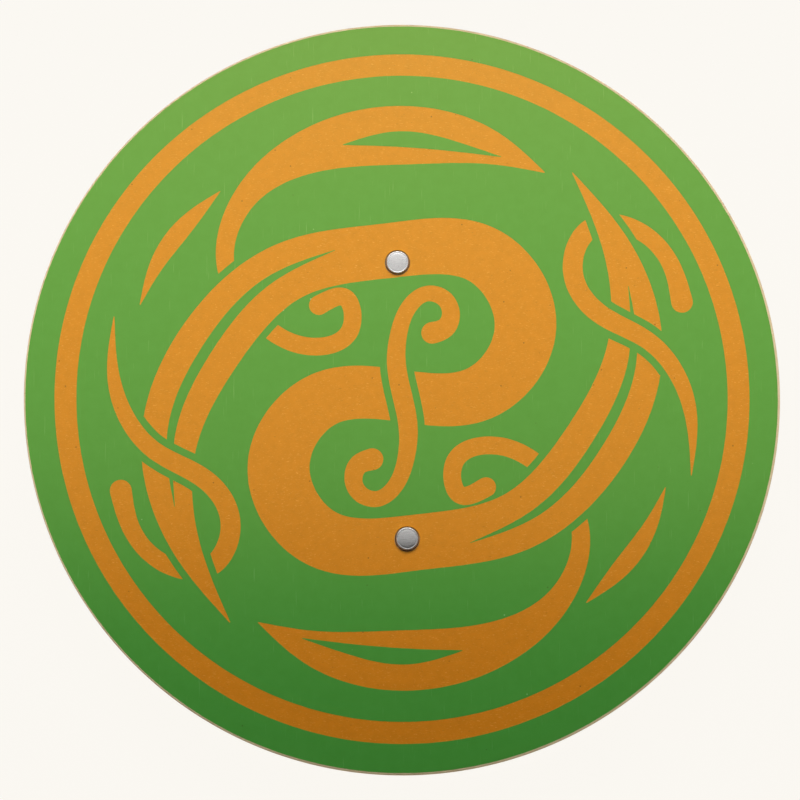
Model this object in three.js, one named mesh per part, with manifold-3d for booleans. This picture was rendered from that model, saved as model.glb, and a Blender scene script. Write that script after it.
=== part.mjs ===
// A round wooden hand shield: a flat fibreboard disc with a printed face, and a leather grip
// strap held across its back by two capped rivets.
// Millimetres, +Z up. The shield lies on its back: the middle of the strap rests at Z = 0
// under the disc, and the printed face looks up.
import * as THREE from "three";
import { mergeVertices } from "three/addons/utils/BufferGeometryUtils.js";
import Module from "manifold-3d";

const wasm = await Module();
wasm.setup();

// The disc
const BOARD_DIAMETER = 380;
const BOARD_THICKNESS = 6;
const BOARD_ARRIS = 1.2; // radius sanded on both edges
const BOARD_SIDES = 144;

// The grip strap: flat under each rivet, bent away from the board, and pressed flat in its
// middle, where the shield rests on it
const STRAP_WIDTH = 34;
const STRAP_THICKNESS = 3;
const STRAP_END = 15; // from a rivet's centre to the end of the leather
const STRAP_END_RADIUS = 12; // in plan, at the corners of each end
const STRAP_EDGE = 0.7; // rounding along the long edges
const STRAP_PAST_HEAD = 2.75; // flat leather between a rivet's head and the first bend
const STRAP_BEND = 28; // bend radius at the middle of the leather
const STRAP_BEND_STEPS = 7;
const HAND_GAP = 18; // clear height between the board and the middle of the strap
const STRAP_TURN = THREE.MathUtils.degToRad(2); // the strap was riveted on slightly askew

// The rivets: a stud from the face and a cap pressed on its end, over the leather
const RIVET_SPACING = 140;
const RIVETS_LOW = 2.2; // from the disc's centre down to the middle between the rivets
const RIVET_HEAD_DIAMETER = 12.5;
const RIVET_HEAD_HEIGHT = 1.9;
const RIVET_HEAD_RIM = 0.6; // straight part of the head's edge
const RIVET_HEAD_CROWN = 0.25; // rise of the nearly flat middle
const RIVET_SHOULDER = 1.9; // width of the rounded shoulder, in from the edge
const RIVET_POST_DIAMETER = 4;
const RIVET_BITE = 1.1; // how far the post goes into the cap
const RIVET_SIDES = 48;
const BORE_CLEARANCE = 0.25; // all round the post, in the board, the leather and the cap

const CUT_MARGIN = 1; // how far a cutting solid reaches past what it cuts

// Places that follow from the sizes
const BACK_Z = STRAP_THICKNESS + HAND_GAP;
const FACE_Z = BACK_Z + BOARD_THICKNESS;
const BORE_RADIUS = RIVET_POST_DIAMETER / 2 + BORE_CLEARANCE;
const RIVET_ENDS = { upper: RIVET_SPACING / 2, lower: -RIVET_SPACING / 2 };

// A closed geometry as a solid that can be cut
function solidOf(geometry) {
  const bare = geometry.index ? geometry.toNonIndexed() : geometry.clone();
  bare.deleteAttribute("normal");
  bare.deleteAttribute("uv");
  const merged = mergeVertices(bare, 1e-4);
  return new wasm.Manifold(
    new wasm.Mesh({
      numProp: 3,
      vertProperties: merged.attributes.position.array,
      triVerts: merged.index.array,
    }),
  );
}

// A solid as a geometry again
function geometryOf(solid) {
  const mesh = solid.getMesh();
  const geometry = new THREE.BufferGeometry();
  geometry.setAttribute("position", new THREE.BufferAttribute(mesh.vertProperties, 3));
  geometry.setIndex(new THREE.BufferAttribute(mesh.triVerts, 1));
  geometry.computeVertexNormals();
  return geometry;
}

// A solid of revolution about Z, from [radius, height] pairs that run up its outside
function revolved(profile, sides) {
  const points = profile.map(([radius, height]) => new THREE.Vector2(radius, height));
  return new THREE.LatheGeometry(points, sides).rotateX(Math.PI / 2);
}

// Points of a quarter ellipse from angle 0 or 90 degrees to the other, about a centre
function quarter([centreX, centreY], [radiusX, radiusY], fromDegrees, toDegrees, steps) {
  return Array.from({ length: steps + 1 }, (_, i) => {
    const angle = THREE.MathUtils.degToRad(fromDegrees + ((toDegrees - fromDegrees) * i) / steps);
    return [centreX + radiusX * Math.cos(angle), centreY + radiusY * Math.sin(angle)];
  });
}

// A hole for a rivet's post through everything at a place on the board
function bore(x, y, bottom, top) {
  const length = top - bottom;
  return new THREE.CylinderGeometry(BORE_RADIUS, BORE_RADIUS, length, RIVET_SIDES)
    .rotateX(Math.PI / 2)
    .translate(x, y, bottom + length / 2);
}

function boardGeometry() {
  const flat = BOARD_DIAMETER / 2 - BOARD_ARRIS;
  const arris = [BOARD_ARRIS, BOARD_ARRIS];
  const disc = revolved(
    [
      [0, BACK_Z],
      ...quarter([flat, BACK_Z + BOARD_ARRIS], arris, -90, 0, 3),
      ...quarter([flat, FACE_Z - BOARD_ARRIS], arris, 0, 90, 3),
      [0, FACE_Z],
    ],
    BOARD_SIDES,
  );
  let solid = solidOf(disc);
  for (const along of Object.values(RIVET_ENDS)) {
    const x = -along * Math.sin(STRAP_TURN);
    const y = along * Math.cos(STRAP_TURN) - RIVETS_LOW;
    solid = solid.subtract(solidOf(bore(x, y, BACK_Z - CUT_MARGIN, FACE_Z + CUT_MARGIN)));
  }
  return geometryOf(solid);
}

// One surface of the strap from its middle to one end, as [distance along, height], at an
// offset up from the middle of the leather
function strapSurface(offset) {
  const drop = BACK_Z - STRAP_THICKNESS; // from the clamped leather to the resting leather
  const swing = Math.acos(1 - drop / (2 * STRAP_BEND));
  const clampedFrom = RIVET_SPACING / 2 - RIVET_HEAD_DIAMETER / 2 - STRAP_PAST_HEAD;
  const restingTo = clampedFrom - 2 * STRAP_BEND * Math.sin(swing);
  const resting = STRAP_THICKNESS / 2;
  const clamped = BACK_Z - STRAP_THICKNESS / 2;
  const points = [];
  for (let i = 0; i <= STRAP_BEND_STEPS; i++) {
    const angle = (swing * i) / STRAP_BEND_STEPS;
    const radius = STRAP_BEND - offset;
    points.push([
      restingTo + radius * Math.sin(angle),
      resting + STRAP_BEND - radius * Math.cos(angle),
    ]);
  }
  for (let i = STRAP_BEND_STEPS - 1; i >= 0; i--) {
    const angle = (swing * i) / STRAP_BEND_STEPS;
    const radius = STRAP_BEND + offset;
    points.push([
      clampedFrom - radius * Math.sin(angle),
      clamped - STRAP_BEND + radius * Math.cos(angle),
    ]);
  }
  points.push([RIVET_SPACING / 2 + STRAP_END, clamped + offset]);
  return points;
}

// The same surface from the lower end to the upper one
function wholeSurface(offset) {
  const half = strapSurface(offset);
  const mirrored = half.map(([along, height]) => [-along, height]).reverse();
  return [...mirrored, ...half];
}

function strapGeometry() {
  const under = wholeSurface(-STRAP_THICKNESS / 2);
  const over = wholeSurface(STRAP_THICKNESS / 2).reverse();
  const side = new THREE.Shape([...under, ...over].map(([a, b]) => new THREE.Vector2(a, b)));
  const along = new THREE.Vector3(0, 1, 0);
  const up = new THREE.Vector3(0, 0, 1);
  const across = new THREE.Vector3(1, 0, 0);
  const bent = new THREE.ExtrudeGeometry(side, {
    depth: STRAP_WIDTH - 2 * STRAP_EDGE,
    bevelThickness: STRAP_EDGE,
    bevelSize: STRAP_EDGE,
    bevelOffset: -STRAP_EDGE,
    bevelSegments: 2,
  })
    .translate(0, 0, STRAP_EDGE - STRAP_WIDTH / 2)
    .applyMatrix4(new THREE.Matrix4().makeBasis(along, up, across));

  const [halfWidth, halfLength] = [STRAP_WIDTH / 2, RIVET_SPACING / 2 + STRAP_END];
  const corner = STRAP_END_RADIUS;
  const plan = new THREE.Shape();
  plan.absarc(halfWidth - corner, halfLength - corner, corner, 0, Math.PI / 2);
  plan.absarc(corner - halfWidth, halfLength - corner, corner, Math.PI / 2, Math.PI);
  plan.absarc(corner - halfWidth, corner - halfLength, corner, Math.PI, 1.5 * Math.PI);
  plan.absarc(halfWidth - corner, corner - halfLength, corner, 1.5 * Math.PI, 2 * Math.PI);
  const outline = new THREE.ExtrudeGeometry(plan, {
    depth: BACK_Z + 2 * CUT_MARGIN,
    bevelEnabled: false,
    curveSegments: 8,
  }).translate(0, 0, -CUT_MARGIN);

  let solid = solidOf(bent).intersect(solidOf(outline));
  for (const y of Object.values(RIVET_ENDS)) {
    solid = solid.subtract(solidOf(bore(0, y, -CUT_MARGIN, BACK_Z + CUT_MARGIN)));
  }
  return geometryOf(solid);
}

// The outside of a rivet's head from its seat at height 0 to the top of its middle
function headProfile() {
  const radius = RIVET_HEAD_DIAMETER / 2;
  const flat = radius - RIVET_SHOULDER;
  const shoulder = RIVET_HEAD_HEIGHT - RIVET_HEAD_CROWN - RIVET_HEAD_RIM;
  return [
    [radius, 0],
    ...quarter([flat, RIVET_HEAD_RIM], [RIVET_SHOULDER, shoulder], 0, 90, 5),
    [flat / 2, RIVET_HEAD_HEIGHT - RIVET_HEAD_CROWN / 4],
    [0, RIVET_HEAD_HEIGHT],
  ];
}

function studGeometry() {
  const post = RIVET_POST_DIAMETER / 2;
  const end = BACK_Z - STRAP_THICKNESS - RIVET_BITE;
  return revolved(
    [
      [0, end],
      [post, end],
      [post, FACE_Z],
      ...headProfile().map(([radius, height]) => [radius, FACE_Z + height]),
    ],
    RIVET_SIDES,
  );
}

function capGeometry() {
  const seat = BACK_Z - STRAP_THICKNESS;
  const socket = seat - RIVET_BITE - BORE_CLEARANCE;
  const outside = headProfile().map(([radius, height]) => [radius, seat - height]);
  const inside = [
    [BORE_RADIUS, seat],
    [BORE_RADIUS, socket],
    [0, socket],
  ];
  return revolved([...outside.reverse(), ...inside], RIVET_SIDES);
}

function named(name, geometry, material) {
  const mesh = new THREE.Mesh(geometry, material);
  mesh.name = name;
  return mesh;
}

const paintedBoard = new THREE.MeshStandardMaterial({ color: 0x64a040, roughness: 0.5 });
const leather = new THREE.MeshStandardMaterial({ color: 0x8a5a34, roughness: 0.65 });
const nickel = new THREE.MeshStandardMaterial({ color: 0xc8c8c6, roughness: 0.3, metalness: 1 });

const shield = new THREE.Group();
shield.add(named("board", boardGeometry(), paintedBoard));

const grip = new THREE.Group();
grip.rotation.z = STRAP_TURN;
grip.position.y = -RIVETS_LOW;
grip.add(named("grip_strap", strapGeometry(), leather));
for (const [end, along] of Object.entries(RIVET_ENDS)) {
  const stud = named(`rivet_${end}`, studGeometry(), nickel);
  const cap = named(`rivet_cap_${end}`, capGeometry(), nickel);
  for (const piece of [stud, cap]) {
    piece.position.y = along;
    grip.add(piece);
  }
}
shield.add(grip);

export default shield;
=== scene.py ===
"""A round wooden play shield, lying on its grip strap with its printed face up.

The board is fibreboard with an orange-lacquered face. A green layer screen-printed over it is
open where the pattern and the ring near the edge show orange. Two nickel-plated rivets go
through to a leather strap on the back. Lengths are in metres unless a name ends in MM.
"""

import math

import bpy
import numpy as np
from mathutils import Matrix, Vector, noise


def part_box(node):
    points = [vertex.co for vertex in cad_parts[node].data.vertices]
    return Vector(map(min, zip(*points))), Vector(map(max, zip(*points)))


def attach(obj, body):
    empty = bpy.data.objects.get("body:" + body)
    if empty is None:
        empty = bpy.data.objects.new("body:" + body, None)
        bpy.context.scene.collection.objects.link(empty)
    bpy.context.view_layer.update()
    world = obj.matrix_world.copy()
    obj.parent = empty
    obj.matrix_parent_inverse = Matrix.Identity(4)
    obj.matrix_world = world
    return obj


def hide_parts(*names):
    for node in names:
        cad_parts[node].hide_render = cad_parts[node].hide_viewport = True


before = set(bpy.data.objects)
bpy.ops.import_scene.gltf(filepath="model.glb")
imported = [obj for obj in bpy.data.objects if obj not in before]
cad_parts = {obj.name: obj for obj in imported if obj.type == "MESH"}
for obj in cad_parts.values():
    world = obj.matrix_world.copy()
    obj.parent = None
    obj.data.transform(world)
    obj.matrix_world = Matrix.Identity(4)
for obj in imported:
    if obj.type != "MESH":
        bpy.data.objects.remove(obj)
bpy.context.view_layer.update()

MM = 0.001
MICRON = 0.001 * MM

# Places from the frame
BOARD_LOW, BOARD_HIGH = (Vector(corner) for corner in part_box("board"))
BACK, FACE = BOARD_LOW.z, BOARD_HIGH.z
BOARD_RADIUS = (BOARD_HIGH.x - BOARD_LOW.x) / 2
ENDS = ("upper", "lower")
RIVETS = {end: sum(map(Vector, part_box(f"rivet_{end}")), Vector()) / 2 for end in ENDS}
GRIP_MIDDLE = (RIVETS["upper"] + RIVETS["lower"]) / 2
HEAD_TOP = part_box("rivet_upper")[1][2]
POST_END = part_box("rivet_upper")[0][2]
CAP_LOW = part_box("rivet_cap_upper")[0][2]
HEAD_RADIUS = 6.25 * MM
HEAD_HEIGHT = HEAD_TOP - FACE
HEAD_FOOT = 6.0 * MM
HEAD_ROLL = 5.68 * MM
CROWN = 0.1 * MM
POST_RADIUS = 2 * MM
BORE_RADIUS = 2.25 * MM

# The board and its print
ARRIS = 0.5 * MM
PRINT_RADIUS = 189.0 * MM
PRINT_OFF_CENTRE = -0.2 * MM
LACQUER_RADIUS = 188.7 * MM
PRINT_THICKNESS = 0.06 * MM
PRINT_SUNK = 0.02 * MM
RING_OUTER = 174.6 * MM
RING_INNER = 163.6 * MM
RAGGED_MM = 0.08
RAGGED_WAVE_MM = 2.6
HEAD_DENT = 0.9 * MM
DENT_OUTER = 6.36 * MM
DENT_INNER = 5.3 * MM

# The pattern: bands through points of (x, y, width) in millimetres, +Y to the shield's top.
# Each band is in one half of the face, and half a turn gives the other half.
SCROLL = [
    (0, 0, 26),
    (40, 2, 28),
    (62, 35, 31),
    (42, 71, 30),
    (-6, 74, 28),
    (-58, 63, 30),
    (-97, 25, 34),
    (-117, -24, 28),
    (-109, -74, 15),
    (-86, -114, 0.4),
]
CRESCENT = [
    (72, 114, 0.4),
    (44, 127, 18),
    (2, 133, 30),
    (-46, 125, 23),
    (-80, 100, 12),
    (-89, 66, 9),
    (-70, 36, 9),
    (-46, 25, 9),
    (-26, 34, 9),
    (-29, 50, 9),
    (-42, 46, 10),
]
TENDRIL = [
    (-145, 40, 0.4),
    (-144, 4, 7),
    (-124, -28, 9),
    (-98, -43, 10),
    (-86, -64, 10),
    (-96, -86, 10),
    (-118, -85, 9),
    (-136, -66, 9),
    (-141, -48, 11),
]
LEAF = [(-92, 104, 0.4), (-110, 86, 9), (-124, 66, 7), (-132, 46, 0.4)]
HOOK = [
    (15, 32, 11),
    (22, 35, 10),
    (24.5, 42, 9),
    (21, 49.5, 8.5),
    (12.5, 52, 8),
    (4, 46, 8),
    (-1.5, 33, 8.5),
    (-3, 17, 9.5),
    (0, 0, 10),
]
SCROLL_SLIT = [(-34, 74, 0.3), (-68, 58, 4), (-98, 24, 5.4), (-116, -20, 4), (-114, -56, 0.3)]
CRESCENT_SLIT = [(50, 122, 0.3), (28, 127, 5), (-2, 131, 8), (-30, 128, 0.3)]
CROSSING_GAP_MM = 3.6
CROSSING_REACH_MM = 26
OUTLINE_STEP_MM = 1.4
LEAST_WIDTH_MM = 0.3

# The strap, as it lies bent under the board
STRAP_TURN = math.radians(2)
STRAP_WIDTH = 34 * MM
STRAP_THICKNESS = 3 * MM
STRAP_BEND = 28 * MM
STRAP_PAST_HEAD = 2.75 * MM
STRAP_END = 15 * MM
STRAP_CORNER = 12 * MM
RIVET_REACH = (RIVETS["upper"] - RIVETS["lower"]).length / 2
STRAP_SWING = math.acos(1 - (BACK - STRAP_THICKNESS) / (2 * STRAP_BEND))
BEND_LENGTH = STRAP_BEND * STRAP_SWING
CLAMPED_FROM = RIVET_REACH - HEAD_RADIUS - STRAP_PAST_HEAD
RESTING_TO = CLAMPED_FROM - 2 * STRAP_BEND * math.sin(STRAP_SWING)
STRAP_BURNISH = 0.8 * MM
CREASE_IN = 2.6 * MM
CREASE_WIDTH = 0.45 * MM
CREASE_DEPTH = 0.3 * MM
CAP_PRESS = 0.35 * MM

# The camera looks down on the face, tilted a little off square
TILT = math.radians(7.2)
TILT_TOWARDS = math.radians(-5.7)
CAMERA_AWAY = 2.2857
CAMERA_AIM = Vector((-1.16 * MM, -2.06 * MM, FACE))
FOCAL_PIXELS = 4550
FRAME_PIXELS = 800
SENSOR = 36


# Colours and materials


def colour(hex_value):
    """An sRGB hex value as a linear colour."""
    parts = [int(hex_value[i : i + 2], 16) / 255 for i in (1, 3, 5)]
    linear = [c / 12.92 if c <= 0.04045 else ((c + 0.055) / 1.055) ** 2.4 for c in parts]
    return (*linear, 1)


def new_material(name):
    """A material with nothing in it but its output, which takes the surface."""
    material = bpy.data.materials.new(name)
    material.use_nodes = True
    material.node_tree.nodes.clear()
    return material


def node(material, kind, inputs=None, stops=None, **settings):
    """Adds a node. A socket takes a value or another node's output, and stops fill a ramp."""
    made = material.node_tree.nodes.new(kind)
    for name, value in settings.items():
        setattr(made, name, value)
    for socket, value in (inputs or {}).items():
        if isinstance(value, bpy.types.NodeSocket):
            material.node_tree.links.new(value, made.inputs[socket])
        else:
            made.inputs[socket].default_value = value
    if stops:
        elements = made.color_ramp.elements
        while len(elements) < len(stops):
            elements.new(0.5)
        for element, (position, value) in zip(elements, stops):
            element.position = position
            element.color = value
    return made


def grey(value):
    return (value, value, value, 1)


def finish_material(material, shader, height=None, depth=0.0):
    """Joins the shader to the output, with a bump of a real depth if a height is given."""
    if height is not None:
        bump = node(
            material,
            "ShaderNodeBump",
            {"Strength": 1.0, "Distance": depth, "Height": height},
        )
        material.node_tree.links.new(bump.outputs[0], shader.inputs["Normal"])
    node(material, "ShaderNodeOutputMaterial", {"Surface": shader.outputs[0]})
    return material


# A warm satin sheen, the same on ink and lacquer: one clear coat lies over both
SHEEN = {"Specular Tint": (1, 0.898, 0.242, 1), "Specular IOR Level": 1.0}


FIBRE_LENGTH = 1.7 * MM
FIBRE_WIDTH = 0.5 * MM
FIBRE_TURNS = (0.3, 1.25, 2.4)


def fibres(material, place, shift):
    """Noise drawn out along three directions, as the fibres lie in fibreboard."""
    strongest = None
    for i, turn in enumerate(FIBRE_TURNS):
        mapping = node(
            material,
            "ShaderNodeMapping",
            {
                "Vector": place,
                "Location": (shift + i, shift - i, 0),
                "Rotation": (0, 0, turn),
                "Scale": (1 / FIBRE_LENGTH, 1 / FIBRE_WIDTH, 1 / FIBRE_WIDTH),
            },
        )
        streaks = node(
            material,
            "ShaderNodeTexNoise",
            {"Vector": mapping.outputs[0], "Scale": 1.0, "Detail": 1.0, "Distortion": 0.6},
        )
        if strongest is None:
            strongest = streaks.outputs[0]
            continue
        strongest = node(
            material,
            "ShaderNodeMath",
            {0: strongest, 1: streaks.outputs[0]},
            operation="MAXIMUM",
        ).outputs[0]
    return strongest


def specks(material, place, apart, radius):
    """Small round marks, one about every so far apart: 1 in the middle of each, else 0."""
    cells = node(
        material,
        "ShaderNodeTexVoronoi",
        {"Vector": place, "Scale": 1 / apart, "Randomness": 1.0},
    )
    share = radius / apart
    return node(
        material,
        "ShaderNodeValToRGB",
        {"Fac": cells.outputs["Distance"]},
        stops=[(share * 0.6, grey(1)), (share * 1.1, grey(0))],
    ).outputs[0]


def mixed(material, factor, below, above):
    """A colour laid over another as far as the factor goes."""
    return node(
        material,
        "ShaderNodeMix",
        {"Factor": factor, "A": below, "B": above},
        data_type="RGBA",
    ).outputs["Result"]


def fibreboard(name, base, light, dark, roughness, share):
    """Fibreboard: mottled, with pale and dark fibre flecks and a few dark specks of bark."""
    material = new_material(name)
    place = node(material, "ShaderNodeTexCoord").outputs["Object"]
    mottle = node(
        material, "ShaderNodeTexNoise", {"Vector": place, "Scale": 1 / (4 * MM), "Detail": 3.0}
    )
    ground = node(
        material,
        "ShaderNodeValToRGB",
        {"Fac": mottle.outputs[0]},
        stops=[(0.3, base[0]), (0.7, base[1])],
    )
    pale = node(
        material,
        "ShaderNodeValToRGB",
        {"Fac": fibres(material, place, 3.0)},
        stops=[(0.67, grey(0)), (0.77, grey(share))],
    )
    deep = node(
        material,
        "ShaderNodeValToRGB",
        {"Fac": fibres(material, place, 41.0)},
        stops=[(0.69, grey(0)), (0.82, grey(share))],
    )
    bark = specks(material, place, 9 * MM, 0.45 * MM)
    surface = mixed(material, pale.outputs[0], ground.outputs[0], light)
    surface = mixed(material, deep.outputs[0], surface, dark)
    surface = mixed(material, bark, surface, dark)
    shader = node(
        material,
        "ShaderNodeBsdfPrincipled",
        {"Base Color": surface, "Roughness": roughness},
    )
    return material, shader, deep.outputs[0]


def orange_lacquered_fibreboard():
    """Translucent lacquer rolled onto fibreboard: warm orange, with the fibres showing in it."""
    material, shader, pores = fibreboard(
        "orange_lacquered_fibreboard",
        (colour("#cb780f"), colour("#d27d13")),
        colour("#efb055"),
        colour("#95500f"),
        0.4,
        0.5,
    )
    for socket, value in SHEEN.items():
        shader.inputs[socket].default_value = value
    return finish_material(material, shader, pores, -0.02 * MM)


def dent_painted_shade():
    """Lacquer crushed into the dent round a rivet: dull, and painted dark brown as the shade in the
    gap round the head.
    """
    material = new_material("dent_painted_shade")
    place = node(material, "ShaderNodeTexCoord").outputs["Object"]
    patches = node(material, "ShaderNodeTexNoise", {"Vector": place, "Scale": 1 / (1.5 * MM)})
    # Painted shade: dark browns in patches stand for the shade in the gap round the head.
    painted_shade = node(
        material,
        "ShaderNodeValToRGB",
        {"Fac": patches.outputs[0]},
        stops=[(0.35, colour("#2c1710")), (0.7, colour("#4a2912"))],
    )
    shader = node(
        material,
        "ShaderNodeBsdfPrincipled",
        {"Base Color": painted_shade.outputs[0], "Roughness": 0.7},
    )
    return finish_material(material, shader, patches.outputs[0], 0.03 * MM)


def sanded_fibreboard():
    """Raw fibreboard, sanded at its edge and bare on its back: matt tan with open fibres."""
    material, shader, pores = fibreboard(
        "sanded_fibreboard",
        (colour("#ccb288"), colour("#d8c29a")),
        colour("#e8d6b2"),
        colour("#9c7c52"),
        0.85,
        0.6,
    )
    return finish_material(material, shader, pores, -0.05 * MM)


def green_screen_print():
    """Opaque green ink pulled through a screen: even and satin, with a few scuffs and specks."""
    material = new_material("green_screen_print")
    place = node(material, "ShaderNodeTexCoord").outputs["Object"]
    mottle = node(
        material, "ShaderNodeTexNoise", {"Vector": place, "Scale": 1 / (5 * MM), "Detail": 5.0}
    )
    ink = node(
        material,
        "ShaderNodeValToRGB",
        {"Fac": mottle.outputs[0]},
        stops=[(0.3, colour("#368e34")), (0.7, colour("#3a9138"))],
    )
    along_scuffs = node(
        material,
        "ShaderNodeMapping",
        {"Vector": place, "Rotation": (0, 0, 0.3), "Scale": (1 / (0.7 * MM), 1 / (16 * MM), 1)},
    )
    scuffs = node(
        material,
        "ShaderNodeTexNoise",
        {"Vector": along_scuffs.outputs[0], "Scale": 1.0, "Detail": 2.0},
    )
    scuffed = node(
        material,
        "ShaderNodeValToRGB",
        {"Fac": scuffs.outputs[0]},
        stops=[(0.67, grey(0)), (0.8, grey(0.4))],
    )
    surface = mixed(material, scuffed.outputs[0], ink.outputs[0], colour("#7fb56c"))
    surface = mixed(material, specks(material, place, 19 * MM, 0.5 * MM), surface, colour("#93bd80"))
    beside = node(material, "ShaderNodeMapping", {"Vector": place, "Location": (1.7, 0.6, 0)})
    surface = mixed(
        material,
        specks(material, beside.outputs[0], 15 * MM, 0.45 * MM),
        surface,
        colour("#2a6a26"),
    )
    shader = node(
        material,
        "ShaderNodeBsdfPrincipled",
        {"Base Color": surface, "Roughness": 0.4, **SHEEN},
    )
    grain = node(
        material, "ShaderNodeTexNoise", {"Vector": place, "Scale": 1 / (0.9 * MM), "Detail": 2.0}
    )
    return finish_material(material, shader, grain.outputs[0], 0.012 * MM)


SCRATCH = 0.25 * MM


def nickel_plated_steel():
    """Bright nickel over pressed steel: a clean mirror gone slightly soft, with fine scratches."""
    material = new_material("nickel_plated_steel")
    place = node(material, "ShaderNodeTexCoord").outputs["Object"]
    scratch_ways = node(
        material,
        "ShaderNodeMapping",
        {"Vector": place, "Rotation": (0, 0, 0.5), "Scale": (1 / (5 * MM), 1 / SCRATCH, 1 / SCRATCH)},
    )
    scratches = node(
        material,
        "ShaderNodeTexNoise",
        {"Vector": scratch_ways.outputs[0], "Scale": 1.0, "Detail": 3.0},
    )
    dents = node(
        material, "ShaderNodeTexNoise", {"Vector": place, "Scale": 1 / (2.2 * MM), "Detail": 2.0}
    )
    worn = node(
        material,
        "ShaderNodeValToRGB",
        {"Fac": scratches.outputs[0]},
        stops=[(0.4, grey(0.24)), (0.75, grey(0.4))],
    )
    relief = node(
        material,
        "ShaderNodeMath",
        {0: dents.outputs[0], 1: 2.0, 2: scratches.outputs[0]},
        operation="MULTIPLY_ADD",
    )
    shader = node(
        material,
        "ShaderNodeBsdfPrincipled",
        {"Base Color": colour("#bbb9b7"), "Metallic": 1.0, "Roughness": worn.outputs[0]},
    )
    return finish_material(material, shader, relief.outputs[0], 0.006 * MM)


def vegetable_tanned_leather():
    """Thick vegetable-tanned cowhide: warm brown, pebbled, with wrinkles and worn light spots."""
    material = new_material("vegetable_tanned_leather")
    place = node(material, "ShaderNodeTexCoord").outputs["Object"]
    cloud = node(
        material, "ShaderNodeTexNoise", {"Vector": place, "Scale": 1 / (22 * MM), "Detail": 6.0}
    )
    hide = node(
        material,
        "ShaderNodeValToRGB",
        {"Fac": cloud.outputs[0]},
        stops=[(0.3, colour("#6e4222")), (0.5, colour("#85522b")), (0.72, colour("#9a6639"))],
    )
    pebbles = node(
        material,
        "ShaderNodeTexVoronoi",
        {"Vector": place, "Scale": 1 / (1.1 * MM), "Randomness": 0.9},
        feature="SMOOTH_F1",
    )
    wrinkles = node(
        material,
        "ShaderNodeTexNoise",
        {"Vector": place, "Scale": 1 / (3.5 * MM), "Detail": 6.0, "Distortion": 1.2},
    )
    relief = node(
        material,
        "ShaderNodeMath",
        {0: wrinkles.outputs[0], 1: 1.4, 2: pebbles.outputs["Distance"]},
        operation="MULTIPLY_ADD",
    )
    # Painted shade: the hollows between the pebbles are mixed darker.
    pits = node(
        material,
        "ShaderNodeValToRGB",
        {"Fac": pebbles.outputs["Distance"]},
        stops=[(0.0, grey(0.0)), (0.8, grey(0.35))],
    )
    shaded = node(
        material,
        "ShaderNodeMix",
        {"Factor": pits.outputs[0], "A": hide.outputs[0], "B": colour("#4d2c15")},
        data_type="RGBA",
    )
    shader = node(
        material,
        "ShaderNodeBsdfPrincipled",
        {"Base Color": shaded.outputs["Result"], "Roughness": 0.55},
    )
    return finish_material(material, shader, relief.outputs[0], 0.12 * MM)


def burnished_leather_edge():
    """The strap's cut edge, rubbed smooth and waxed: darker than the hide, with a soft shine."""
    material = new_material("burnished_leather_edge")
    place = node(material, "ShaderNodeTexCoord").outputs["Object"]
    layers = node(
        material, "ShaderNodeTexNoise", {"Vector": place, "Scale": 1 / (1.5 * MM), "Detail": 4.0}
    )
    wax = node(
        material,
        "ShaderNodeValToRGB",
        {"Fac": layers.outputs[0]},
        stops=[(0.3, colour("#3d2413")), (0.7, colour("#5a3820"))],
    )
    shader = node(
        material,
        "ShaderNodeBsdfPrincipled",
        {"Base Color": wax.outputs[0], "Roughness": 0.4},
    )
    return finish_material(material, shader, layers.outputs[0], 0.03 * MM)


# Making pieces


def deselect():
    bpy.ops.object.select_all(action="DESELECT")


def name_new(name):
    """Names the piece that was just added."""
    piece = bpy.context.object
    piece.name = name
    piece.data.name = name
    return piece


def edit(piece):
    deselect()
    bpy.context.view_layer.objects.active = piece
    piece.select_set(True)
    bpy.ops.object.mode_set(mode="EDIT")


def leave_edit():
    bpy.ops.object.mode_set(mode="OBJECT")


def settle(piece):
    """Puts a piece's place into its mesh and turns its faces outwards."""
    edit(piece)
    bpy.ops.mesh.select_all(action="SELECT")
    bpy.ops.mesh.normals_make_consistent(inside=False)
    leave_edit()
    bpy.ops.object.transform_apply(location=True, rotation=True, scale=True)
    return piece


def apply_modifier(piece, kind, **settings):
    deselect()
    bpy.context.view_layer.objects.active = piece
    piece.select_set(True)
    modifier = piece.modifiers.new(kind.lower(), kind)
    for name, value in settings.items():
        setattr(modifier, name, value)
    bpy.ops.object.modifier_apply(modifier=modifier.name)


def cut(piece, cutter):
    apply_modifier(piece, "BOOLEAN", operation="DIFFERENCE", solver="EXACT", object=cutter)
    bpy.data.objects.remove(cutter, do_unlink=True)


def join(piece, other):
    apply_modifier(piece, "BOOLEAN", operation="UNION", solver="EXACT", object=other)
    bpy.data.objects.remove(other, do_unlink=True)


def slab(name, points, low, high):
    """A flat piece with a closed outline of (x, y) points in metres, from low to high."""
    deselect()
    bpy.ops.mesh.primitive_circle_add(vertices=len(points), radius=1, fill_type="NGON")
    piece = name_new(name)
    for vertex, (x, y) in zip(piece.data.vertices, points):
        vertex.co = (x, y, low)
    edit(piece)
    bpy.ops.mesh.select_all(action="SELECT")
    bpy.ops.mesh.extrude_region_move(TRANSFORM_OT_translate={"value": (0, 0, high - low)})
    leave_edit()
    return settle(piece)


def circle(radius, sides):
    angles = [math.tau * i / sides for i in range(sides)]
    return [(radius * math.cos(a), radius * math.sin(a)) for a in angles]


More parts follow.
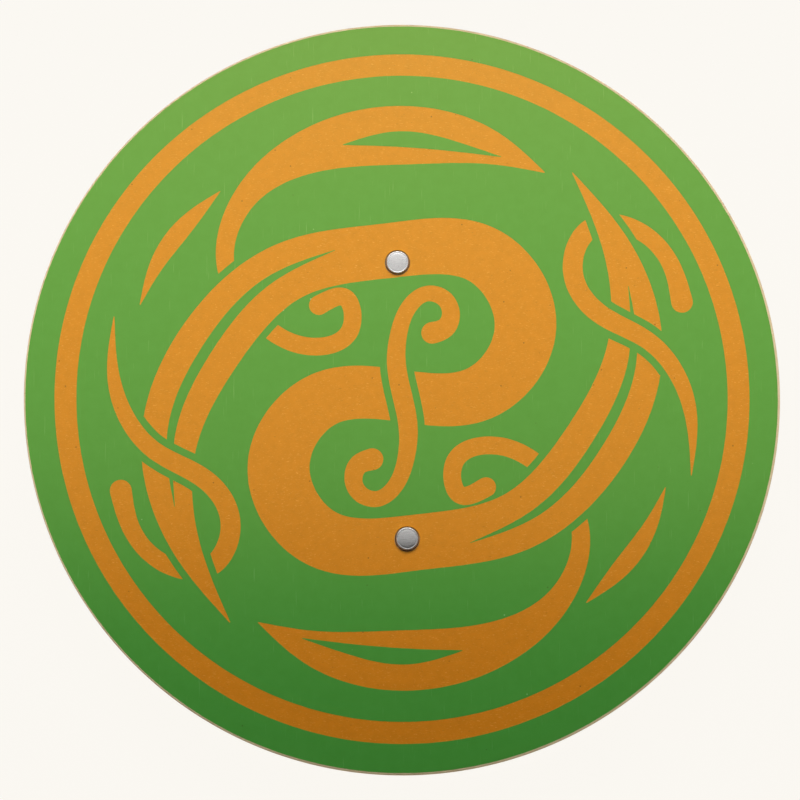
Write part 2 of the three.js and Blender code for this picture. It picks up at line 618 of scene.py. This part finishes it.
def turned(name, centre, profile, sides=96):
    """A turned part: a filled circle at the first (radius, height), drawn on ring by ring."""
    deselect()
    radius, height = profile[0]
    bpy.ops.mesh.primitive_circle_add(
        vertices=sides, radius=radius, fill_type="NGON", location=(centre.x, centre.y, height)
    )
    piece = name_new(name)
    edit(piece)
    bpy.ops.mesh.select_all(action="SELECT")
    for next_radius, next_height in profile[1:]:
        bpy.ops.mesh.extrude_region_move(
            TRANSFORM_OT_translate={"value": (0, 0, next_height - height)}
        )
        ratio = next_radius / radius
        bpy.ops.transform.resize(
            value=(ratio, ratio, 1), center_override=(centre.x, centre.y, next_height)
        )
        radius, height = next_radius, next_height
    leave_edit()
    return settle(piece)


def smooth(piece, degrees):
    deselect()
    bpy.context.view_layer.objects.active = piece
    piece.select_set(True)
    bpy.ops.object.shade_smooth_by_angle(angle=math.radians(degrees))


def arc(centre, radii, start, end, steps):
    """Points of an ellipse's arc, from one angle in degrees to another."""
    angles = [math.radians(start + (end - start) * i / steps) for i in range(steps + 1)]
    return [
        (centre[0] + radii[0] * math.cos(a), centre[1] + radii[1] * math.sin(a)) for a in angles
    ]


# The board


def make_board():
    deselect()
    bpy.ops.mesh.primitive_cylinder_add(
        vertices=360,
        radius=BOARD_RADIUS,
        depth=FACE - BACK,
        end_fill_type="NGON",
        location=(0, 0, (FACE + BACK) / 2),
    )
    board = settle(name_new("fibreboard_disc"))
    edit(board)
    bpy.ops.mesh.select_mode(type="EDGE")
    bpy.ops.mesh.select_all(action="DESELECT")
    leave_edit()
    for edge in board.data.edges:
        ends = [board.data.vertices[i].co.z for i in edge.vertices]
        edge.select = abs(ends[0] - ends[1]) < 1e-6
    edit(board)
    bpy.ops.mesh.bevel(offset=ARRIS, segments=5, affect="EDGES")
    bpy.ops.mesh.select_mode(type="FACE")
    leave_edit()
    for face in board.data.polygons:
        face.select = abs(face.normal.z) > 0.999
    edit(board)
    bpy.ops.mesh.inset(thickness=BOARD_RADIUS - ARRIS - LACQUER_RADIUS, use_individual=True)
    leave_edit()
    for end in ENDS:
        x, y = RIVETS[end].xy
        points = [(x + px, y + py) for px, py in circle(BORE_RADIUS, 48)]
        cut(board, slab("bore", points, BACK - MM, FACE + MM))
        press_in(board, x, y)
    board.data.materials.append(sanded_fibreboard())
    board.data.materials.append(orange_lacquered_fibreboard())
    board.data.materials.append(dent_painted_shade())
    # The lacquered face takes material 1, and the dent round each head takes the painted shade,
    # material 2.
    for face in board.data.polygons:
        x, y, z = face.center
        if z > FACE - MICRON and face.center.xy.length < LACQUER_RADIUS:
            face.material_index = 1
        elif z > FACE - HEAD_DENT - MICRON and any(
            abs(math.hypot(x - RIVETS[end].x, y - RIVETS[end].y) - HEAD_RADIUS) < MM
            for end in ENDS
        ):
            face.material_index = 2
    smooth(board, 40)
    return board


def press_in(board, x, y):
    """The narrow dent that a rivet's head leaves round itself in the face."""
    dent, inside = (
        slab("dent", [(x + px, y + py) for px, py in circle(radius, 72)], FACE - deep, FACE + MM)
        for radius, deep in ((DENT_OUTER, HEAD_DENT), (DENT_INNER, 2 * HEAD_DENT))
    )
    cut(dent, inside)
    cut(board, dent)


# The printed pattern


def spline(points, step):
    """A natural cubic spline through the points, with a column for each of their numbers."""
    p = np.array(points, float)
    along = np.r_[0, np.cumsum(np.hypot(*np.diff(p[:, :2], axis=0).T))]
    gap = np.diff(along)
    count = len(p)
    matrix = np.eye(count)
    target = np.zeros_like(p)
    for i in range(1, count - 1):
        matrix[i, i - 1 : i + 2] = gap[i - 1], 2 * (gap[i - 1] + gap[i]), gap[i]
        rise = (p[i + 1] - p[i]) / gap[i]
        fall = (p[i] - p[i - 1]) / gap[i - 1]
        target[i] = 6 * (rise - fall)
    bend = np.linalg.solve(matrix, target)
    fine = np.linspace(0, along[-1], int(along[-1] / step) + 1)
    i = np.clip(np.searchsorted(along, fine, side="right") - 1, 0, count - 2)
    g = gap[i][:, None]
    u = (fine - along[i])[:, None]
    v = g - u
    curved = (bend[i] * v**3 + bend[i + 1] * u**3) / (6 * g)
    straight = (p[i] / g - bend[i] * g / 6) * v + (p[i + 1] / g - bend[i + 1] * g / 6) * u
    return curved + straight


def band_sides(line, extra):
    """The left and right sides of a band along rows of (x, y, width), made wider by extra."""
    run = np.gradient(line[:, :2], axis=0)
    run /= np.hypot(*run.T)[:, None]
    across = np.c_[-run[:, 1], run[:, 0]]
    half = (np.maximum(line[:, 2], LEAST_WIDTH_MM) / 2 + extra)[:, None]
    return line[:, :2] + across * half, line[:, :2] - across * half, run


def band_outline(line, extra=0.0, round_ends=True):
    """A band's closed outline in metres, with round ends where it is broad there."""
    left, right, run = band_sides(line, extra)
    points = [tuple(p) for p in left]
    points += round_end(line[-1], run[-1]) if round_ends else []
    points += [tuple(p) for p in right[::-1]]
    points += round_end(line[0], -run[0]) if round_ends else []
    return [(x * MM, y * MM) for x, y in points]


def round_end(row, heading):
    x, y, width = row
    if width < 2:
        return []
    start = math.atan2(heading[1], heading[0]) + math.pi / 2
    angles = [start - math.pi * i / 12 for i in range(1, 12)]
    return [(x + width / 2 * math.cos(a), y + width / 2 * math.sin(a)) for a in angles]


CUTTER_LOW, CUTTER_HIGH = FACE - 2 * MM, FACE + 2 * MM


def band_slab(name, line, extra=0.0, round_ends=True):
    return slab(name, band_outline(line, extra, round_ends), CUTTER_LOW, CUTTER_HIGH)


def pass_over(over_line, under_piece, x, y):
    """Parts the band below where another crosses it, a gap wider on each side."""
    near = np.hypot(over_line[:, 0] - x, over_line[:, 1] - y) < CROSSING_REACH_MM
    cut(under_piece, band_slab("crossing", over_line[near], CROSSING_GAP_MM, round_ends=False))


def half_turned(piece):
    copy = piece.copy()
    copy.data = piece.data.copy()
    bpy.context.collection.objects.link(copy)
    copy.data.transform(Matrix.Rotation(math.pi, 4, "Z"))
    return copy


def make_print():
    """The green layer: a thin disc, open at the ring and at every band of the pattern."""
    scroll_line = spline(SCROLL, OUTLINE_STEP_MM)
    crescent_line = spline(CRESCENT, OUTLINE_STEP_MM)
    tendril_line = spline(TENDRIL, OUTLINE_STEP_MM)
    hook_line = spline(HOOK, OUTLINE_STEP_MM)
    hooks_line = np.r_[hook_line, (hook_line * [-1, -1, 1])[-2::-1]]
    scroll = band_slab("scroll", scroll_line)
    crescent = band_slab("crescent", crescent_line)
    tendril = band_slab("tendril", tendril_line)
    leaf = band_slab("leaf", spline(LEAF, OUTLINE_STEP_MM))
    hooks = band_slab("hooks", hooks_line)
    pass_over(tendril_line, scroll, -118, -32)
    pass_over(scroll_line, tendril, -101, -88)
    pass_over(scroll_line, crescent, -80, 46)
    cut(scroll, band_slab("slit", spline(SCROLL_SLIT, OUTLINE_STEP_MM)))
    cut(crescent, band_slab("slit", spline(CRESCENT_SLIT, OUTLINE_STEP_MM)))
    join(scroll, half_turned(scroll))
    pass_over(hooks_line, scroll, 0, 0)

    low, high = FACE - PRINT_SUNK, FACE + PRINT_THICKNESS
    outline = [(x + PRINT_OFF_CENTRE, y) for x, y in circle(PRINT_RADIUS, 720)]
    green = slab("green_print", outline, low, high)
    ring = slab("ring", circle(RING_OUTER, 640), CUTTER_LOW, CUTTER_HIGH)
    cut(ring, slab("ring_inside", circle(RING_INNER, 600), CUTTER_LOW - MM, CUTTER_HIGH + MM))
    cut(green, ring)
    for piece in (crescent, tendril, leaf):
        cut(green, half_turned(piece))
        cut(green, piece)
    cut(green, scroll)
    cut(green, hooks)
    for vertex in green.data.vertices:
        spot = Vector((vertex.co.x, vertex.co.y, 0)) / (RAGGED_WAVE_MM * MM)
        shift = noise.noise_vector(spot) * RAGGED_MM * MM
        vertex.co.x += shift.x
        vertex.co.y += shift.y
    green.data.materials.append(green_screen_print())
    return green


# The rivets


def head_profile():
    """The outside of a rivet's head as (radius, height), from its seat to near the middle."""
    roll = 0.5 * MM
    roll_radius = HEAD_ROLL - roll
    roll_top = HEAD_HEIGHT - CROWN
    shoulder = arc((roll_radius, roll_top - roll), (roll, roll), 16, 108, 10)
    groove = (roll_radius - 0.4 * MM, roll_top - 0.06 * MM)
    edge = roll_radius - 0.6 * MM
    flat = [(edge * (1 - i / 6), roll_top - 0.02 * MM + CROWN * i / 6 * (2 - i / 6)) for i in range(6)]
    return [(HEAD_FOOT - 0.1 * MM, 0), (HEAD_FOOT, 0.1 * MM), *shoulder, groove, *flat]


def make_stud(end):
    """A rivet's stud: the head on the face and the post through board and strap."""
    head = [(radius, FACE + height) for radius, height in head_profile()]
    profile = [(POST_RADIUS, POST_END), (POST_RADIUS, FACE), *head]
    stud = turned(f"rivet_head_{end}", RIVETS[end], profile)
    smooth(stud, 50)
    return stud


def make_back_cap(end):
    """The cap pressed over the post's end, which holds the strap."""
    seat = CAP_LOW + HEAD_HEIGHT
    outside = [(radius, seat - height) for radius, height in head_profile()]
    socket = [(BORE_RADIUS, POST_END - 0.2 * MM), (BORE_RADIUS, seat)]
    cap = turned(f"rivet_back_cap_{end}", RIVETS[end], [*socket, *outside])
    smooth(cap, 50)
    return cap


# The strap


def strap_place(along, up):
    """Where a point of the straight strap goes once it is bent: its place along Y and its Z.

    along runs from the strap's middle, and up is the height over the middle of the leather.
    """
    resting, clamped = STRAP_THICKNESS / 2, BACK - STRAP_THICKNESS / 2
    side = math.copysign(1, along)
    s = abs(along)
    if s <= RESTING_TO:
        return along, resting + up
    s -= RESTING_TO
    if s <= BEND_LENGTH:
        angle = s / STRAP_BEND
        radius = STRAP_BEND - up
        y = RESTING_TO + radius * math.sin(angle)
        return side * y, resting + STRAP_BEND - radius * math.cos(angle)
    s -= BEND_LENGTH
    if s <= BEND_LENGTH:
        angle = STRAP_SWING - s / STRAP_BEND
        radius = STRAP_BEND + up
        y = CLAMPED_FROM - radius * math.sin(angle)
        return side * y, clamped - STRAP_BEND + radius * math.cos(angle)
    return side * (CLAMPED_FROM + s - BEND_LENGTH), clamped + up


def make_strap():
    half_length = RESTING_TO + 2 * BEND_LENGTH + RIVET_REACH + STRAP_END - CLAMPED_FROM
    half_width = STRAP_WIDTH / 2
    deselect()
    bpy.ops.mesh.primitive_grid_add(x_subdivisions=68, y_subdivisions=200, size=1)
    strap = name_new("leather_strap")
    for vertex in strap.data.vertices:
        vertex.co.x *= STRAP_WIDTH
        vertex.co.y *= 2 * half_length
    for vertex in strap.data.vertices:
        past = abs(vertex.co.y) - (half_length - STRAP_CORNER)
        if past > 0:
            room = half_width - STRAP_CORNER + math.sqrt(max(STRAP_CORNER**2 - past**2, 0))
            vertex.co.x *= room / half_width
    apply_modifier(strap, "SOLIDIFY", thickness=STRAP_THICKNESS, offset=0)
    return shape_strap(strap, half_length, half_width)


def shape_strap(strap, half_length, half_width):
    """Rounds the edges, presses the crease and the caps' seats in, and bends the strap."""
    edit(strap)
    bpy.ops.mesh.select_mode(type="EDGE")
    bpy.ops.mesh.select_all(action="DESELECT")
    bpy.ops.mesh.edges_select_sharp(sharpness=math.radians(60))
    bpy.ops.mesh.bevel(offset=STRAP_BURNISH, segments=4, affect="EDGES")
    leave_edit()
    strap.data.materials.append(vegetable_tanned_leather())
    strap.data.materials.append(burnished_leather_edge())
    for face in strap.data.polygons:
        face.material_index = 1 if abs(face.normal.z) < 0.9 else 0
    rivet_along = half_length - STRAP_END
    for vertex in strap.data.vertices:
        x, y, z = vertex.co
        past = max(abs(y) - (half_length - STRAP_CORNER), 0)
        room = half_width - STRAP_CORNER + math.sqrt(max(STRAP_CORNER**2 - past**2, 0))
        inside = min(room - abs(x), half_length - abs(y))
        if z < 0:
            crease = math.exp(-(((inside - CREASE_IN) / CREASE_WIDTH) ** 2))
            to_cap = math.hypot(x, abs(y) - rivet_along) - HEAD_RADIUS
            press = 1 / (1 + math.exp(to_cap / (0.7 * MM)))
            z += CREASE_DEPTH * crease + CAP_PRESS * press
        place = strap_place(y, z)
        vertex.co = (x, place[0], place[1])
    strap.data.transform(Matrix.Rotation(STRAP_TURN, 4, "Z"))
    strap.data.transform(Matrix.Translation((GRIP_MIDDLE.x, GRIP_MIDDLE.y, 0)))
    for end in ENDS:
        x, y = RIVETS[end].xy
        points = [(x + px, y + py) for px, py in circle(BORE_RADIUS, 48)]
        cut(strap, slab("bore", points, CAP_LOW - MM, BACK + MM))
    smooth(strap, 50)
    return settle(strap)


# Stage, light and camera


def floor_material():
    """A matt white table lit from below, so that it is pale all over."""
    material = new_material("pale_table")
    glow = node(
        material, "ShaderNodeEmission", {"Color": colour("#fbf8f2"), "Strength": 0.985}
    )
    matt = node(material, "ShaderNodeBsdfDiffuse", {"Color": grey(0.015)})
    both = node(material, "ShaderNodeAddShader", {0: glow.outputs[0], 1: matt.outputs[0]})
    return finish_material(material, both)


def make_floor():
    deselect()
    bpy.ops.mesh.primitive_plane_add(size=30, location=(0, 0, 0))
    floor = settle(name_new("pale_table"))
    floor.data.materials.append(floor_material())


def make_softbox(name, depth, behind, above, lean, spread, power):
    """A broad softbox towards the shield's top, leaning over it, with a grid in front."""
    data = bpy.data.lights.new(name, "AREA")
    data.shape = "RECTANGLE"
    data.size = 1.8
    data.size_y = depth
    data.energy = power
    data.spread = math.radians(spread)
    light = bpy.data.objects.new(name, data)
    light.location = (0, behind, FACE + above)
    light.rotation_euler = (-math.radians(lean), 0, 0)
    light.visible_camera = False
    bpy.context.collection.objects.link(light)


def make_side_strip(name, turn, power):
    """A low upright strip to one side, which lights edges and hardly touches the face."""
    data = bpy.data.lights.new(name, "AREA")
    data.shape = "RECTANGLE"
    data.size = 1.6
    data.size_y = 0.16
    data.energy = power
    light = bpy.data.objects.new(name, data)
    light.location = (0.9 * math.sin(turn), -0.9 * math.cos(turn), FACE + 0.1)
    light.rotation_euler = (math.pi / 2, 0, turn)
    light.visible_camera = False
    bpy.context.collection.objects.link(light)


def make_world():
    world = bpy.data.worlds.new("studio")
    bpy.context.scene.world = world
    world.use_nodes = True
    background = world.node_tree.nodes["Background"]
    background.inputs["Color"].default_value = colour("#fbf8f2")
    background.inputs["Strength"].default_value = 0.03


def make_camera():
    data = bpy.data.cameras.new("camera")
    data.sensor_width = SENSOR
    data.lens = SENSOR * FOCAL_PIXELS / FRAME_PIXELS
    data.clip_end = 50
    camera = bpy.data.objects.new("camera", data)
    bpy.context.collection.objects.link(camera)
    away = Vector(
        (
            math.sin(TILT) * math.sin(TILT_TOWARDS),
            -math.sin(TILT) * math.cos(TILT_TOWARDS),
            math.cos(TILT),
        )
    )
    right = Vector((0, 1, 0)).cross(away).normalized()
    up = away.cross(right)
    turn = Matrix((right, up, away)).transposed().to_4x4()
    camera.matrix_world = Matrix.Translation(CAMERA_AIM + away * CAMERA_AWAY) @ turn
    bpy.context.scene.camera = camera


make_camera()
make_world()
make_floor()
make_softbox("low_softbox", 0.842, 0.362, 0.2, 1.7, 100.3, 1.37)
make_softbox("high_softbox", 0.858, 0.562, 0.503, 24.8, 180, 0.6)
make_softbox("far_softbox", 0.278, 0.416, 0.449, 51.7, 91.9, 3.33)
make_side_strip("near_strip", 0, 0.6)
make_side_strip("right_strip", math.pi / 2, 1.2)
make_side_strip("left_strip", -math.pi / 2, 1.2)
bpy.context.scene.view_settings.view_transform = "Standard"

board = make_board()
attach(board, "root")
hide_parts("board")

green_print = make_print()
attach(green_print, "root")

nickel = nickel_plated_steel()
for end in ENDS:
    for piece, node_name in (
        (make_stud(end), f"rivet_{end}"),
        (make_back_cap(end), f"rivet_cap_{end}"),
    ):
        piece.data.materials.append(nickel)
        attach(piece, "root")
        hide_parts(node_name)

strap = make_strap()
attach(strap, "root")
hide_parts("grip_strap")
